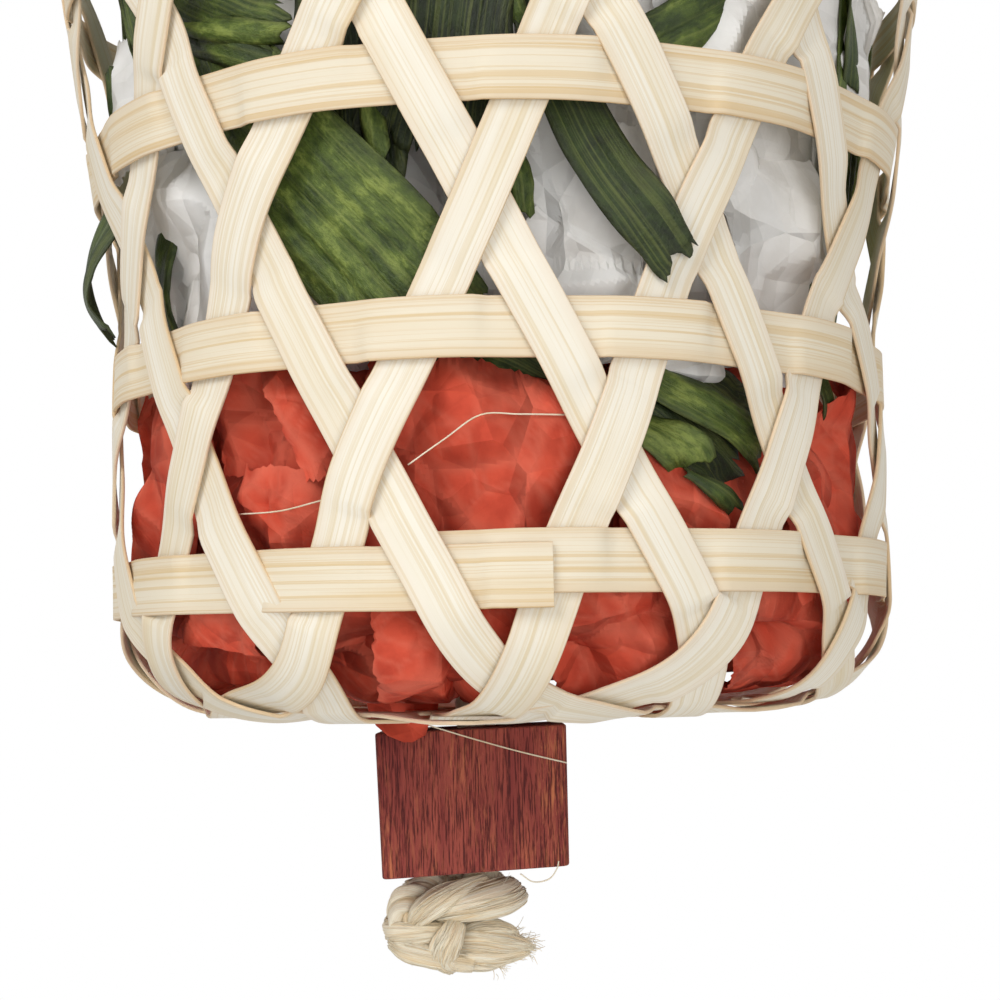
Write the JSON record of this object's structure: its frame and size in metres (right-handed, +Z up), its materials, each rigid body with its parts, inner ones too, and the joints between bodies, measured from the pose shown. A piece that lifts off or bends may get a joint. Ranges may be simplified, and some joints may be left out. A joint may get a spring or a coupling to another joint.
{
  "type": "hanging bird foraging basket",
  "caption": "Flared bamboo basket in open three-way weave, stuffed with tissue and dried leaf, strung on a sisal rope with a hanging link above and a dyed wood block and knot below.",
  "frame": {"origin": "the hanging point: inside top of the link, where the bar that carries it bears", "axes": "+Z up along the rope, -Y the pictured front, +X to its right"},
  "size_m": [0.1355, 0.1356, 0.253],
  "materials": {
    "bamboo_splint": "split bamboo, satin skin",
    "bamboo_rim": "split bamboo, satin skin",
    "cane_tie": "peeled cane",
    "red_tissue": "crumpled tissue paper",
    "white_tissue": "crumpled tissue paper",
    "dried_leaf": "dried palm leaf",
    "sisal": "three-strand sisal",
    "dyed_wood": "sawn pine, dye-soaked",
    "zinc_plated_steel": "bright zinc plate"
  },
  "bodies": {
    "link": {"link_body": "zinc_plated_steel"},
    "nut": {"link_nut": "zinc_plated_steel"},
    "rope": {"rope": "sisal", "rope_eye": "sisal", "end_knot": "sisal"},
    "basket": {"inner_splint_1": "bamboo_splint", "outer_splint_1": "bamboo_splint", "inner_splint_2": "bamboo_splint", "outer_splint_2": "bamboo_splint", "inner_splint_3": "bamboo_splint", "outer_splint_3": "bamboo_splint", "inner_splint_4": "bamboo_splint", "outer_splint_4": "bamboo_splint", "inner_splint_5": "bamboo_splint", "outer_splint_5": "bamboo_splint", "inner_splint_6": "bamboo_splint", "outer_splint_6": "bamboo_splint", "wall_hoop_1": "bamboo_splint", "wall_hoop_2": "bamboo_splint", "wall_hoop_3": "bamboo_splint", "wall_hoop_4": "bamboo_splint", "rim_outer": "bamboo_rim", "rim_inner": "bamboo_rim", "rim_ties": "cane_tie", "red_tissue_1": "red_tissue", "red_tissue_2": "red_tissue", "red_tissue_3": "red_tissue", "white_tissue_1": "white_tissue", "white_tissue_2": "white_tissue", "white_tissue_3": "white_tissue", "red_tuft": "red_tissue", "white_tuft": "white_tissue", "leaf_1": "dried_leaf", "leaf_2": "dried_leaf", "leaf_3": "dried_leaf", "leaf_4": "dried_leaf", "leaf_5": "dried_leaf", "leaf_6": "dried_leaf", "leaf_7": "dried_leaf", "leaf_8": "dried_leaf", "leaf_9": "dried_leaf", "leaf_10": "dried_leaf", "leaf_11": "dried_leaf", "leaf_12": "dried_leaf", "leaf_13": "dried_leaf"},
    "block": {"wood_block": "dyed_wood"}
  },
  "joints": [
    {"name": "nut_travel", "type": "slide", "parent": "link", "child": "nut", "axis": [0, 0, -1], "range_m": [0, 0.0085]},
    {"name": "rope_swing", "type": "hinge", "parent": "link", "child": "rope", "pos_m": [0, 0, -0.03475], "axis": [1, 0, 0], "range_deg": [-45, 45]},
    {"name": "basket_turn", "type": "hinge", "parent": "rope", "child": "basket", "pos_m": [0, 0, -0.215], "axis": [0, 0, 1], "continuous": true},
    {"name": "block_turn", "type": "hinge", "parent": "rope", "child": "block", "pos_m": [0, 0, -0.22632], "axis": [-0.0436, 0, 0.999], "continuous": true}
  ]
}
